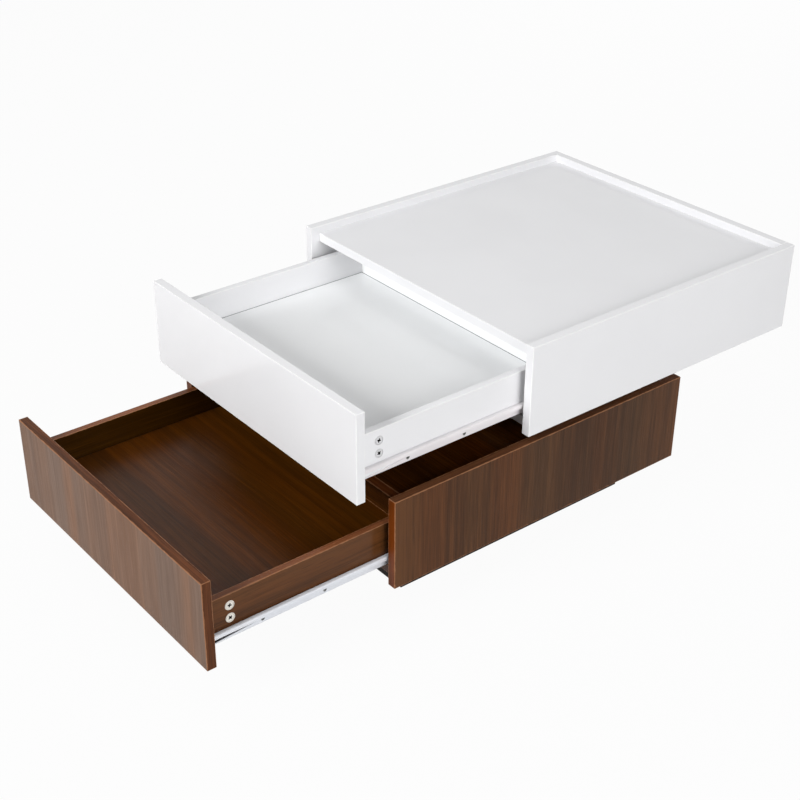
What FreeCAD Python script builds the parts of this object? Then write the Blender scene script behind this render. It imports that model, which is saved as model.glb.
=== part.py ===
import FreeCAD, Part
import math
import os
import re
import Sketcher

# A coffee table of two shallow cases, one on the other. Each case has a drawer on roller runners.
# The upper case turns on the lower one about a ball bearing that sits in the gap between them.
# Frame: origin on the floor under the middle of the lower case, +Z up, +X to the right.
# The drawers open towards -Y.
# The pieces are placed as they stand at rest: both drawers open, and the upper case swung to the back.

os.makedirs("parts", exist_ok=True)
doc = FreeCAD.newDocument("SwivelCoffeeTable")

# Driving dimensions, in millimetres

sizes = {
    # Cases
    "case_width": 600,
    "case_depth": 628,
    "case_height": 160,
    "board": 16,
    "edge_round": 0.8,
    "top_recess": 14,
    "rail_height": 36,
    "tier_gap": 13,
    # Plinth
    "plinth_height": 68,
    "plinth_inset": 66,
    # Dowels between case boards
    "dowel_radius": 4,
    "dowel_length": 28,
    "dowel_seat": 10,
    "dowel_fit": 0.05,
    "dowel_end_gap": 0.5,
    # Drawers
    "drawer_travel": 328,
    "front_clearance": 2,
    "front_reveal": 1.5,
    "front_drop": 3,
    "front_step": 8,
    "drawer_wall": 12,
    "drawer_tail": 20,
    "drawer_bottom": 30,
    "drawer_side_height": 76,
    "floor_thickness": 9,
    "floor_rise": 16,
    "floor_tongue": 5,
    "groove_clearance": 0.2,
    "peg_radius": 3,
    "peg_length": 24,
    "peg_seat": 7,
    # Cam locks and their bolts
    "cam_radius": 7.5,
    "cam_depth": 9.5,
    "cam_fit": 0.05,
    "cam_setback": 34,
    "cam_low": 34,
    "cam_spacing": 22,
    "cam_cross_length": 8,
    "cam_cross_width": 1.8,
    "cam_cross_depth": 2,
    "bolt_radius": 3.5,
    "bolt_seat": 11,
    "bolt_end_gap": 0.3,
    # Runners
    "runner_gap": 12.5,
    "steel": 1.2,
    "runner_top": 49.5,
    "runner_reach": 8.5,
    "lip_clearance": 1.3,
    "drawer_runner_length": 400,
    "case_runner_length": 410,
    "channel_bottom": 25,
    "channel_height": 16,
    "channel_reach": 8.8,
    "channel_lip": 3,
    "tab_length": 28,
    "tab_height": 24,
    "cut_overrun": 1,
    # Runner screws
    "runner_screw_head": 3.5,
    "runner_screw_shank": 2,
    "case_screw_length": 12,
    "drawer_screw_length": 9,
    "drawer_screw_height": 6.5,
    "screw_fit": 0.1,
    # Rollers
    "front_roller_radius": 8,
    "front_roller_width": 4.6,
    "front_roller_setback": 13,
    "rear_roller_radius": 6.5,
    "rear_roller_width": 5,
    "rear_roller_setback": 10,
    "roller_clearance": 0.3,
    "roller_chamfer": 0.8,
    "axle_radius": 2.2,
    "axle_fit": 0.06,
    "axle_tip": 0.4,
    # Swivel bearing
    "spacer_width": 320,
    "spacer_margin": 3,
    "plate_radius": 140,
    "plate_thickness": 3,
    "plate_gap": 5,
    "race_radius": 112,
    "race_depth": 1.2,
    "race_half_width": 2.9,
    "race_floor_half_width": 1.6,
    "ball_radius": 3.3,
    "cage_thickness": 1.6,
    "cage_half_width": 7,
    "cage_fit": 0.3,
    "pivot_radius": 10,
    "pivot_fit": 0.05,
    "pivot_head_radius": 16,
    "pivot_head": 2.5,
    "pivot_end_play": 0.3,
    "head_recess_margin": 1.5,
    "plate_screw_circle": 70,
    "plate_screw_head_radius": 3.6,
    "plate_screw_head": 1.6,
    "plate_screw_shank": 2,
    "plate_screw_grip": 10,
    "spacer_screw_head_radius": 4,
    "spacer_screw_head": 3,
    "spacer_screw_grip": 10,
    "spacer_screw_inset": 22,
}
full_turn = 360
ball_count = 24
plate_screw_count = 6
panel_dowel_shares = (0.1, 0.5, 0.9)
back_dowel_shares = (0.25, 0.75)
rail_dowel_shares = (0.3, 0.7)
peg_shares = (0.5, 0.8)
runner_screw_shares = (0.22, 0.5, 0.9)

sheet = doc.addObject("Spreadsheet::Sheet", "Sizes")
for row, (alias, value) in enumerate(sizes.items(), start=1):
    sheet.set(f"A{row}", alias)
    sheet.set(f"B{row}", str(value))
    sheet.setAlias(f"B{row}", alias)
doc.recompute()

# Sizes worked out from the driving ones, as expressions

inner_width = "(case_width - 2 * board)"
panel_start = "(board + front_clearance)"
panel_depth = "(case_depth - board - board - front_clearance)"
top_level = "(case_height - top_recess)"
front_width = "(case_width - 2 * board - 2 * front_reveal)"
front_height = "(case_height + front_drop - front_step)"
box_inner_width = "(case_width - 2 * board - 2 * runner_gap - 2 * drawer_wall)"
box_left = "(board + runner_gap)"
box_right = "(case_width - board - runner_gap)"
drawer_length = "(drawer_runner_length + drawer_tail)"
bearing_height = "(2 * plate_thickness + plate_gap)"
bearing_level = f"(plinth_height + case_height + tier_gap - {bearing_height})"
spacer_height = f"(top_recess + tier_gap - {bearing_height})"
spacer_level = "(plinth_height + case_height - top_recess)"
channel_middle = "(channel_bottom + channel_height / 2)"
front_roller_level = "(runner_top - steel - roller_clearance - front_roller_radius)"
head_recess_radius = "(pivot_head_radius + head_recess_margin)"
plate_screw_hole = "plate_screw_shank + screw_fit"

# The spacer stands a margin in front of the lower case's back, and the swivel's axis runs through its middle.
# A half turn about that axis brings the upper case squarely over the lower one.

swivel_y = "(case_depth / 2 - board - spacer_margin - spacer_width / 2)"
tier_offset = f"(2 * {swivel_y})"

alias_word = re.compile(r"[a-z_]+")


def bind(text):
    """An expression in which each named size points at its cell."""
    return alias_word.sub(lambda word: f"Sizes.{word[0]}" if word[0] in sizes else word[0], text)


# Modelling helpers

sub_parts = []
cuts = []
plane_normals = {"XY_Plane": 1, "YZ_Plane": 1, "XZ_Plane": -1}


def piece(label, x, y, z):
    """A new sub-part whose own origin stands at x, y, z."""
    body = doc.addObject("PartDesign::Body", label)
    body.Label = label
    for axis, text in zip("xyz", (x, y, z)):
        body.setExpression(f".Placement.Base.{axis}", bind(text))
    sub_parts.append(body)
    return body


def sketch_on(body, plane, level="0"):
    """An empty sketch on one of the piece's own planes, moved along that plane's axis to a level."""
    sketch = body.newObject("Sketcher::SketchObject", f"{body.Label}_sketch")
    planes = {feature.Role: feature for feature in body.Origin.OriginFeatures}
    sketch.AttachmentSupport = [(planes[plane], "")]
    sketch.MapMode = "FlatFace"
    sketch.setExpression(".AttachmentOffset.Base.z", bind(f"{plane_normals[plane]} * ({level})"))
    return sketch


def outline(sketch, corners):
    """A closed outline through corners, each a pair of expressions from the sketch's origin."""
    count = len(corners)
    ring = [FreeCAD.Vector(math.cos(k), math.sin(k), 0) for k in range(count)]
    after = [(k + 1) % count for k in range(count)]
    first = sketch.GeometryCount
    sketch.addGeometry([Part.LineSegment(ring[k], ring[after[k]]) for k in range(count)])
    links = [Sketcher.Constraint("Coincident", first + k, 2, first + after[k], 1) for k in range(count)]
    for k in range(count):
        links.append(Sketcher.Constraint("DistanceX", -1, 1, first + k, 1, ring[k].x))
        links.append(Sketcher.Constraint("DistanceY", -1, 1, first + k, 1, ring[k].y))
    start = sketch.ConstraintCount
    sketch.addConstraint(links)
    for k, (across, up) in enumerate(corners):
        sketch.setExpression(f"Constraints[{start + count + 2 * k}]", bind(across))
        sketch.setExpression(f"Constraints[{start + count + 2 * k + 1}]", bind(up))


def rectangle(sketch, across, up, width, height):
    """A rectangle whose low corner is at across, up."""
    far = f"({across}) + ({width})"
    top = f"({up}) + ({height})"
    outline(sketch, [(across, up), (far, up), (far, top), (across, top)])


def circles(sketch, centres, radius):
    """Circles of one radius, each centre a pair of expressions. They start out as unit circles."""
    count = len(centres)
    unit = 1
    first = sketch.GeometryCount
    start = sketch.ConstraintCount
    normal = FreeCAD.Vector(0, 0, unit)
    sketch.addGeometry([Part.Circle(FreeCAD.Vector(k, 0, 0), normal, unit) for k in range(count)])
    links = []
    for circle in range(first, first + count):
        links.append(Sketcher.Constraint("DistanceX", -1, 1, circle, 3, unit))
        links.append(Sketcher.Constraint("DistanceY", -1, 1, circle, 3, unit))
        links.append(Sketcher.Constraint("Radius", circle, unit))
    sketch.addConstraint(links)
    for k, (across, up) in enumerate(centres):
        for step, text in enumerate((across, up, radius)):
            sketch.setExpression(f"Constraints[{start + 3 * k + step}]", bind(text))


def normal_sign(sketch):
    """+1 where the sketch's plane faces along its axis, -1 where it faces back."""
    return plane_normals[sketch.AttachmentSupport[0][0].Role]


def pad(body, sketch, length, towards=1):
    """Material from the sketch, along its axis or against it."""
    feature = body.newObject("PartDesign::Pad", f"{body.Label}_pad")
    feature.Profile = sketch
    feature.setExpression("Length", bind(length))
    feature.Reversed = towards != normal_sign(sketch)
    return feature


def cut(body, sketch, depth, towards=1):
    """A pocket from the sketch, along its axis or against it."""
    feature = body.newObject("PartDesign::Pocket", f"{body.Label}_pocket")
    feature.Profile = sketch
    feature.setExpression("Length", bind(depth))
    feature.Reversed = towards == normal_sign(sketch)
    cuts.append(feature)


def turn(body, sketch, axis):
    """A turned piece: the sketch's outlines swept once round one of its axes."""
    feature = body.newObject("PartDesign::Revolution", f"{body.Label}_turned")
    feature.Profile = sketch
    feature.ReferenceAxis = (sketch, [axis])
    feature.Angle = full_turn


def board(label, x, y, z, width, depth, height):
    """A board with its edges eased all round."""
    body = piece(label, x, y, z)
    sketch = sketch_on(body, "XY_Plane")
    rectangle(sketch, "0", "0", width, depth)
    slab = pad(body, sketch, height)
    eased = body.newObject("PartDesign::Fillet", f"{label}_eased")
    eased.Base = (slab, ["Edge1"])
    eased.UseAllEdges = True
    eased.setExpression("Radius", bind("edge_round"))
    return body


def drill(body, plane, level, centres, radius, depth, towards):
    """Round holes of one size into a face of a board."""
    sketch = sketch_on(body, plane, level)
    circles(sketch, centres, radius)
    cut(body, sketch, depth, towards)


def rods(body, plane, level, centres, radius, length, towards=1):
    """Round pins of one size, standing on a plane."""
    sketch = sketch_on(body, plane, level)
    circles(sketch, centres, radius)
    pad(body, sketch, length, towards)


def ring_of(count, radius, across="0", up="0"):
    """Places on a circle, as pairs of expressions."""
    angles = [k * full_turn / count for k in range(count)]
    return [(f"{across} + {radius} * cos({angle})", f"{up} + {radius} * sin({angle})") for angle in angles]


def shifted(centres, across, up):
    """The same places, measured from another corner."""
    return [(f"({a}) - ({across})", f"({b}) - ({up})") for a, b in centres]


# Places of the runner screws, as (depth, height) from the case's low front corner with the drawer shut

channel_run = "(case_runner_length - tab_length)"
case_screw_places = [
    (f"{panel_start} + tab_length + {share} * {channel_run}", channel_middle) for share in runner_screw_shares
]
drawer_screw_places = [
    (f"board + {share} * drawer_runner_length", "drawer_bottom + drawer_screw_height")
    for share in runner_screw_shares
]
pilot_radius = "runner_screw_shank + screw_fit"

# Places of the case dowels, as (depth, height) from the case's low front corner

dowel_hole = "dowel_radius + dowel_fit"
side_hole = "dowel_seat + dowel_end_gap"
end_hole = "dowel_length - dowel_seat + dowel_end_gap"


def panel_dowels(start, depth, level):
    """Dowels along the end of a level board."""
    return [(f"{start} + {share} * {depth}", level) for share in panel_dowel_shares]


def drill_ends(body, centres):
    """Dowel holes in both ends of a board that lies between the side panels."""
    drill(body, "YZ_Plane", "0", centres, dowel_hole, end_hole, 1)
    drill(body, "YZ_Plane", inner_width, centres, dowel_hole, end_hole, -1)


def build_case(tier, tier_y, tier_z, has_rail):
    """Side panels, back, top and bottom of one case, with its dowels. Gives back its top and bottom."""
    left = "-case_width / 2"
    inside = f"{left} + board"

    top_start = f"({panel_start} + board)" if has_rail else panel_start
    top_depth = f"({panel_depth} - board)" if has_rail else panel_depth
    top_dowels = panel_dowels(top_start, top_depth, f"{top_level} - board / 2")
    bottom_dowels = panel_dowels(panel_start, panel_depth, "board / 2")
    back_dowels = [("case_depth - board / 2", f"{share} * case_height") for share in back_dowel_shares]
    rail_middle = f"{panel_start} + board / 2"
    rail_dowels = [(rail_middle, f"{top_level} - {share} * rail_height") for share in rail_dowel_shares]
    dowels = top_dowels + bottom_dowels + back_dowels + (rail_dowels if has_rail else [])

    # Each side panel: its place, the level of its inner face, and the way from there into the wood
    pilot_depth = "case_screw_length + screw_fit"
    hands = (("left", left, "board", -1), ("right", "case_width / 2 - board", "0", 1))
    for hand, side_x, face, into_wood in hands:
        side = board(f"{tier}_side_panel_{hand}", side_x, tier_y, tier_z,
                     "board", "case_depth", "case_height")
        drill(side, "YZ_Plane", face, dowels, dowel_hole, side_hole, into_wood)
        drill(side, "YZ_Plane", face, case_screw_places, pilot_radius, pilot_depth, into_wood)

    back_y = "(case_depth - board)"
    back = board(f"{tier}_back_panel", inside, f"{tier_y} + {back_y}", tier_z,
                 inner_width, "board", "case_height")
    drill_ends(back, shifted(back_dowels, back_y, "0"))

    top_z = f"({top_level} - board)"
    top = board(f"{tier}_top_panel", inside, f"{tier_y} + {top_start}", f"{tier_z} + {top_z}",
                inner_width, top_depth, "board")
    drill_ends(top, shifted(top_dowels, top_start, top_z))

    bottom = board(f"{tier}_bottom_panel", inside, f"{tier_y} + {panel_start}", tier_z,
                   inner_width, panel_depth, "board")
    drill_ends(bottom, shifted(bottom_dowels, panel_start, "0"))

    if has_rail:
        rail_z = f"({top_level} - rail_height)"
        rail = board(f"{tier}_front_rail", inside, f"{tier_y} + {panel_start}", f"{tier_z} + {rail_z}",
                     inner_width, "board", "rail_height")
        drill_ends(rail, shifted(rail_dowels, panel_start, rail_z))

    pins = piece(f"{tier}_case_dowels", left, tier_y, tier_z)
    for start in ("board - dowel_seat", "case_width - board + dowel_seat - dowel_length"):
        rods(pins, "YZ_Plane", start, dowels, "dowel_radius", "dowel_length")
    return {"top": top, "bottom": bottom}


def build_plinth():
    """A recessed frame of boards on edge, with a middle board under the case's centre."""
    half_width = "(case_width / 2 - plinth_inset)"
    half_depth = "(case_depth / 2 - plinth_inset)"
    span = "(case_width - 2 * plinth_inset)"
    inner_span = "(case_width - 2 * plinth_inset - 2 * board)"
    run = "(case_depth - 2 * plinth_inset - 2 * board)"
    for end, y in (("front", f"-{half_depth}"), ("back", f"{half_depth} - board")):
        board(f"plinth_{end}", f"-{half_width}", y, "0", span, "board", "plinth_height")
    for hand, x in (("left", f"-{half_width}"), ("right", f"{half_width} - board")):
        board(f"plinth_{hand}", x, f"board - {half_depth}", "0", "board", run, "plinth_height")
    board("plinth_middle", f"board - {half_width}", "-board / 2", "0", inner_span, "board", "plinth_height")


# Drawer box. Its places are measured from the case's low front corner with the drawer shut.

side_centres = [f"({box_left} + drawer_wall / 2)", f"({box_right} - drawer_wall / 2)"]
cam_heights = ["cam_low", "(cam_low + cam_spacing)"]
cam_hole = "cam_radius + cam_fit"
bolt_hole = "bolt_radius + cam_fit"
peg_hole = "peg_radius + dowel_fit"
groove_depth = "(floor_tongue + groove_clearance)"
groove_height = "floor_thickness + 2 * groove_clearance"
groove_base = "(floor_rise - groove_clearance)"
back_start = f"({drawer_length} - drawer_wall)"


def build_drawer_front(tier, x, y, z):
    """The drawer's front, with the floor's groove and the cam bolts' holes in its back face."""
    front = board(f"{tier}_drawer_front", f"{x} + board + front_reveal", y, f"{z} - front_drop",
                  front_width, "board", front_height)
    own_left = "(board + front_reveal)"
    own_base = "(drawer_bottom + front_drop)"
    groove = sketch_on(front, "XZ_Plane", "board")
    groove_left = f"{box_left} + drawer_wall - {groove_depth} - {own_left}"
    groove_width = f"{box_inner_width} + 2 * {groove_depth}"
    rectangle(groove, groove_left, f"{own_base} + {groove_base}", groove_width, groove_height)
    cut(front, groove, groove_depth, -1)
    bolts = [(f"{centre} - {own_left}", f"{own_base} + {height}")
             for centre in side_centres for height in cam_heights]
    drill(front, "XZ_Plane", "board", bolts, bolt_hole, "bolt_seat + cam_fit", -1)


def build_drawer_side(tier, hand, x, y, z):
    """One drawer side, with its floor groove, cam seats, bolt holes and peg holes."""
    is_left = hand == "left"
    own_left = box_left if is_left else f"({box_right} - drawer_wall)"
    side = board(f"{tier}_drawer_side_{hand}", f"{x} + {own_left}", f"{y} + board", f"{z} + drawer_bottom",
                 "drawer_wall", drawer_length, "drawer_side_height")
    outer, inner = ("0", "drawer_wall") if is_left else ("drawer_wall", "0")
    inward = 1 if is_left else -1
    groove = sketch_on(side, "YZ_Plane", inner)
    rectangle(groove, "-cut_overrun", groove_base, f"{drawer_length} + 2 * cut_overrun", groove_height)
    cut(side, groove, groove_depth, -inward)
    cams = [("cam_setback", height) for height in cam_heights]
    drill(side, "YZ_Plane", outer, cams, cam_hole, "cam_depth + cam_fit", inward)
    bolts = [("drawer_wall / 2", height) for height in cam_heights]
    drill(side, "XZ_Plane", "0", bolts, bolt_hole, "cam_setback", 1)
    pilots = shifted(drawer_screw_places, "board", "drawer_bottom")
    drill(side, "YZ_Plane", outer, pilots, pilot_radius, "drawer_screw_length + screw_fit", inward)
    pegs = [(f"{back_start} + drawer_wall / 2", f"{share} * drawer_side_height") for share in peg_shares]
    drill(side, "YZ_Plane", inner, pegs, peg_hole, "peg_seat + dowel_end_gap", -inward)


def build_drawer_back(tier, x, y, z):
    """The drawer's back, with the floor's groove in its front face and peg holes in its ends."""
    back = board(f"{tier}_drawer_back", f"{x} + {box_left} + drawer_wall", f"{y} + board + {back_start}",
                 f"{z} + drawer_bottom", box_inner_width, "drawer_wall", "drawer_side_height")
    groove = sketch_on(back, "XZ_Plane")
    rectangle(groove, "-cut_overrun", groove_base, f"{box_inner_width} + 2 * cut_overrun", groove_height)
    cut(back, groove, groove_depth, 1)
    pegs = [("drawer_wall / 2", f"{share} * drawer_side_height") for share in peg_shares]
    depth = "peg_length - peg_seat + dowel_end_gap"
    drill(back, "YZ_Plane", "0", pegs, peg_hole, depth, 1)
    drill(back, "YZ_Plane", box_inner_width, pegs, peg_hole, depth, -1)


def build_drawer_fasteners(tier, x, y, z):
    """Cam locks in the sides, their bolts into the front, and pegs into the back."""
    places = [("board + cam_setback", f"drawer_bottom + {height}") for height in cam_heights]
    cams = piece(f"{tier}_cam_locks", x, y, z)
    cross_bar = ("cam_cross_length", "cam_cross_width")
    for face, inward in ((box_left, 1), (box_right, -1)):
        rods(cams, "YZ_Plane", face, places, "cam_radius", "cam_depth", inward)
        for wide, tall in (cross_bar, cross_bar[::-1]):
            slot = sketch_on(cams, "YZ_Plane", face)
            for along, up in places:
                rectangle(slot, f"{along} - {wide} / 2", f"{up} - {tall} / 2", wide, tall)
            cut(cams, slot, "cam_cross_depth", inward)

    bolts = piece(f"{tier}_cam_bolts", x, y, z)
    centres = [(centre, f"drawer_bottom + {height}") for centre in side_centres for height in cam_heights]
    bolt_length = "bolt_seat + cam_setback - cam_radius - bolt_end_gap"
    rods(bolts, "XZ_Plane", "board - bolt_seat", centres, "bolt_radius", bolt_length)

    pegs = piece(f"{tier}_drawer_pegs", x, y, z)
    back_middle = f"board + {back_start} + drawer_wall / 2"
    centres = [(back_middle, f"drawer_bottom + {share} * drawer_side_height") for share in peg_shares]
    left_start = f"{box_left} + drawer_wall - peg_seat"
    right_start = f"{box_right} - drawer_wall + peg_seat - peg_length"
    for start in (left_start, right_start):
        rods(pegs, "YZ_Plane", start, centres, "peg_radius", "peg_length")


def build_drawer(tier, x, y, z):
    """One drawer: front, sides, back, and a floor whose edges sit in the grooves."""
    build_drawer_front(tier, x, y, z)
    for hand in ("left", "right"):
        build_drawer_side(tier, hand, x, y, z)
    build_drawer_back(tier, x, y, z)
    board(f"{tier}_drawer_floor", f"{x} + {box_left} + drawer_wall - floor_tongue",
          f"{y} + board - floor_tongue", f"{z} + drawer_bottom + floor_rise",
          f"{box_inner_width} + 2 * floor_tongue", f"{back_start} + 2 * floor_tongue", "floor_thickness")
    build_drawer_fasteners(tier, x, y, z)


# Runners. Their outlines are drawn across the gap between the case side and the drawer side.

front_roller_y = f"({panel_start} + front_roller_setback)"
rear_roller_y = "(board + drawer_runner_length - rear_roller_setback)"
runner_screw_hole = "runner_screw_head + screw_fit"


def build_case_runner(tier, hand, x, y, z):
    """The case member: a channel with lips, and a flat tab in front that carries the front roller."""
    inward = 1 if hand == "left" else -1
    face = "board" if hand == "left" else "(case_width - board)"
    runner = piece(f"{tier}_case_runner_{hand}", f"{x} + {face}", y, z)
    low = "channel_bottom"
    high = "(channel_bottom + channel_height)"
    reach = "channel_reach"
    lip_face = "(channel_reach - steel)"
    low_lip = f"{low} + channel_lip"
    high_lip = f"{high} - channel_lip"
    corners = [
        ("0", low), (reach, low), (reach, low_lip), (lip_face, low_lip),
        (lip_face, f"{low} + steel"), ("steel", f"{low} + steel"), ("steel", f"{high} - steel"),
        (lip_face, f"{high} - steel"), (lip_face, high_lip), (reach, high_lip), (reach, high), ("0", high),
    ]
    channel = sketch_on(runner, "XZ_Plane", f"{panel_start} + tab_length")
    outline(channel, [(f"{inward} * {across}", up) for across, up in corners])
    pad(runner, channel, channel_run)
    tab = sketch_on(runner, "YZ_Plane")
    rectangle(tab, panel_start, low, "tab_length", "tab_height")
    pad(runner, tab, "steel", inward)
    axle_reach = "runner_gap - runner_reach / 2 + front_roller_width / 2 + axle_tip"
    rods(runner, "YZ_Plane", "0", [(front_roller_y, front_roller_level)], "axle_radius", axle_reach, inward)
    drill(runner, "YZ_Plane", "0", case_screw_places, runner_screw_hole, "steel", inward)


def build_drawer_runner(tier, hand, x, y, z):
    """The drawer member: it hooks under the drawer side and reaches over the front roller.

    Its lip hangs down outside the roller and ends above the roller's axle.
    """
    outward = -1 if hand == "left" else 1
    face = box_left if hand == "left" else box_right
    runner = piece(f"{tier}_drawer_runner_{hand}", f"{x} + {face}", y, z)
    under = "(-drawer_wall)"
    foot = "drawer_bottom - steel"
    flange = "runner_top - steel"
    lip_face = "(runner_reach - steel)"
    lip_base = f"{front_roller_level} + axle_radius + lip_clearance"
    corners = [
        (under, foot), ("steel", foot), ("steel", flange), (lip_face, flange), (lip_face, lip_base),
        ("runner_reach", lip_base), ("runner_reach", "runner_top"), ("0", "runner_top"),
        ("0", "drawer_bottom"), (under, "drawer_bottom"),
    ]
    section = sketch_on(runner, "XZ_Plane", "board")
    outline(section, [(f"{outward} * {across}", up) for across, up in corners])
    pad(runner, section, "drawer_runner_length")
    axle_reach = "runner_gap - channel_reach / 2 + rear_roller_width / 2 + axle_tip"
    rods(runner, "YZ_Plane", "0", [(rear_roller_y, channel_middle)], "axle_radius", axle_reach, outward)
    drill(runner, "YZ_Plane", "0", drawer_screw_places, runner_screw_hole, "steel", outward)


def build_rollers(label, y, z, radius, width, reach):
    """A left and a right nylon roller on one line along X, each as far from the middle as the reach."""
    rollers = piece(label, "0", y, z)
    sketch = sketch_on(rollers, "XZ_Plane")
    bore = "axle_radius + axle_fit"
    shoulder = f"{radius} - roller_chamfer"
    for hand in (-1, 1):
        low = f"({hand} * {reach} - {width} / 2)"
        high = f"({hand} * {reach} + {width} / 2)"
        outline(sketch, [
            (low, bore), (high, bore), (high, shoulder), (f"{high} - roller_chamfer", radius),
            (f"{low} + roller_chamfer", radius), (low, shoulder),
        ])
    turn(rollers, sketch, "H_Axis")


def build_screws(label, x, y, z, faces, places, length):
    """Flat-head screws whose heads lie flush in the runner's web, in front of each wooden face."""
    screws = piece(label, x, y, z)
    for face, into_wood in faces:
        head_face = f"{face} - {into_wood} * steel"
        rods(screws, "YZ_Plane", head_face, places, "runner_screw_head", "steel", into_wood)
        rods(screws, "YZ_Plane", face, places, "runner_screw_shank", length, into_wood)


def build_runners(tier, x, case_y, drawer_y, z):
    """Both runner pairs of one drawer, with their rollers and screws."""
    for hand in ("left", "right"):
        build_case_runner(tier, hand, x, case_y, z)
        build_drawer_runner(tier, hand, x, drawer_y, z)
    front_reach = "(case_width / 2 - board - runner_gap + runner_reach / 2)"
    build_rollers(f"{tier}_front_rollers", f"{case_y} + {front_roller_y}", f"{z} + {front_roller_level}",
                  "front_roller_radius", "front_roller_width", front_reach)
    rear_reach = "(case_width / 2 - board - channel_reach / 2)"
    build_rollers(f"{tier}_rear_rollers", f"{drawer_y} + {rear_roller_y}", f"{z} + {channel_middle}",
                  "rear_roller_radius", "rear_roller_width", rear_reach)
    case_faces = (("board", -1), ("(case_width - board)", 1))
    build_screws(f"{tier}_case_runner_screws", x, case_y, z,
                 case_faces, case_screw_places, "case_screw_length")
    drawer_faces = ((box_left, 1), (box_right, -1))
    build_screws(f"{tier}_drawer_runner_screws", x, drawer_y, z,
                 drawer_faces, drawer_screw_places, "drawer_screw_length")


# Swivel bearing, about the vertical line halfway between the two case centres


def build_plate(label, z, faces_up):
    """One bearing plate: a disc with a bore for the pivot, a ball race and screw holes."""
    plate = piece(label, "0", swivel_y, z)
    race, outer = ("plate_thickness", "0") if faces_up else ("0", "plate_thickness")
    race_floor = "(plate_thickness - race_depth)" if faces_up else "race_depth"
    bore = "(pivot_radius + pivot_fit)"
    sketch = sketch_on(plate, "XZ_Plane")
    outline(sketch, [
        (bore, outer), ("plate_radius", outer), ("plate_radius", race),
        ("race_radius + race_half_width", race), ("race_radius + race_floor_half_width", race_floor),
        ("race_radius - race_floor_half_width", race_floor), ("race_radius - race_half_width", race),
        (bore, race),
    ])
    turn(plate, sketch, "V_Axis")
    places = ring_of(plate_screw_count, "plate_screw_circle")
    drill(plate, "XY_Plane", "0", places, plate_screw_hole, "plate_thickness", 1)


def build_ball_ring():
    """A ring of balls halfway between the plates, and the flat cage that spaces them."""
    middle = f"{bearing_level} + {bearing_height} / 2"
    cage = piece("swivel_ball_cage", "0", swivel_y, f"{middle} - cage_thickness / 2")
    sketch = sketch_on(cage, "XY_Plane")
    circles(sketch, [("0", "0")], "race_radius + cage_half_width")
    circles(sketch, [("0", "0")], "race_radius - cage_half_width")
    pad(cage, sketch, "cage_thickness")
    places = ring_of(ball_count, "race_radius")
    drill(cage, "XY_Plane", "0", places, "ball_radius + cage_fit", "cage_thickness", 1)

    balls = piece("swivel_balls", "0", swivel_y, middle)
    ball = balls.newObject("PartDesign::AdditiveSphere", "swivel_ball")
    planes = {feature.Role: feature for feature in balls.Origin.OriginFeatures}
    ball.AttachmentSupport = [(planes["XY_Plane"], "")]
    ball.MapMode = "FlatFace"
    ball.setExpression("Radius", bind("ball_radius"))
    ball.setExpression(".AttachmentOffset.Base.x", bind("race_radius"))
    doc.recompute()
    pattern = balls.newObject("PartDesign::PolarPattern", "swivel_ball_row")
    pattern.Originals = [ball]
    pattern.Axis = (planes["Z_Axis"], [""])
    pattern.Angle = full_turn
    pattern.Occurrences = ball_count
    balls.Tip = pattern


def build_plate_screws(label, z, into_wood):
    """Pan-head screws through a bearing plate: heads in the gap, shanks into the wood."""
    screws = piece(label, "0", swivel_y, z)
    places = ring_of(plate_screw_count, "plate_screw_circle")
    rods(screws, "XY_Plane", "0", places, "plate_screw_head_radius", "plate_screw_head", -into_wood)
    shank_length = "plate_thickness + plate_screw_grip"
    rods(screws, "XY_Plane", "0", places, "plate_screw_shank", shank_length, into_wood)


def build_spacer():
    """The board that lifts the bearing clear of the lower case's rim, with its own corner screws."""
    spacer_x = "-spacer_width / 2"
    spacer_y = f"{swivel_y} - spacer_width / 2"
    spacer = board("swivel_spacer", spacer_x, spacer_y, spacer_level,
                   "spacer_width", "spacer_width", spacer_height)
    middle = "(spacer_width / 2)"
    head_room = "pivot_head + pivot_end_play"
    drill(spacer, "XY_Plane", spacer_height, [(middle, middle)], head_recess_radius, head_room, -1)
    plate_places = ring_of(plate_screw_count, "plate_screw_circle", middle, middle)
    plate_pilot = "plate_screw_grip + screw_fit"
    drill(spacer, "XY_Plane", spacer_height, plate_places, plate_screw_hole, plate_pilot, -1)
    near = "spacer_screw_inset"
    far = "(spacer_width - spacer_screw_inset)"
    corners = [(near, near), (far, near), (far, far), (near, far)]
    head_seat = "spacer_screw_head_radius + screw_fit"
    drill(spacer, "XY_Plane", spacer_height, corners, head_seat, "spacer_screw_head", -1)
    drill(spacer, "XY_Plane", "0", corners, plate_screw_hole, spacer_height, 1)

    screws = piece("swivel_spacer_screws", spacer_x, spacer_y, spacer_level)
    head_base = f"{spacer_height} - spacer_screw_head"
    rods(screws, "XY_Plane", head_base, corners, "spacer_screw_head_radius", "spacer_screw_head")
    shank_length = f"{head_base} + spacer_screw_grip"
    rods(screws, "XY_Plane", "-spacer_screw_grip", corners, "plate_screw_shank", shank_length)
    return corners


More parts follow.
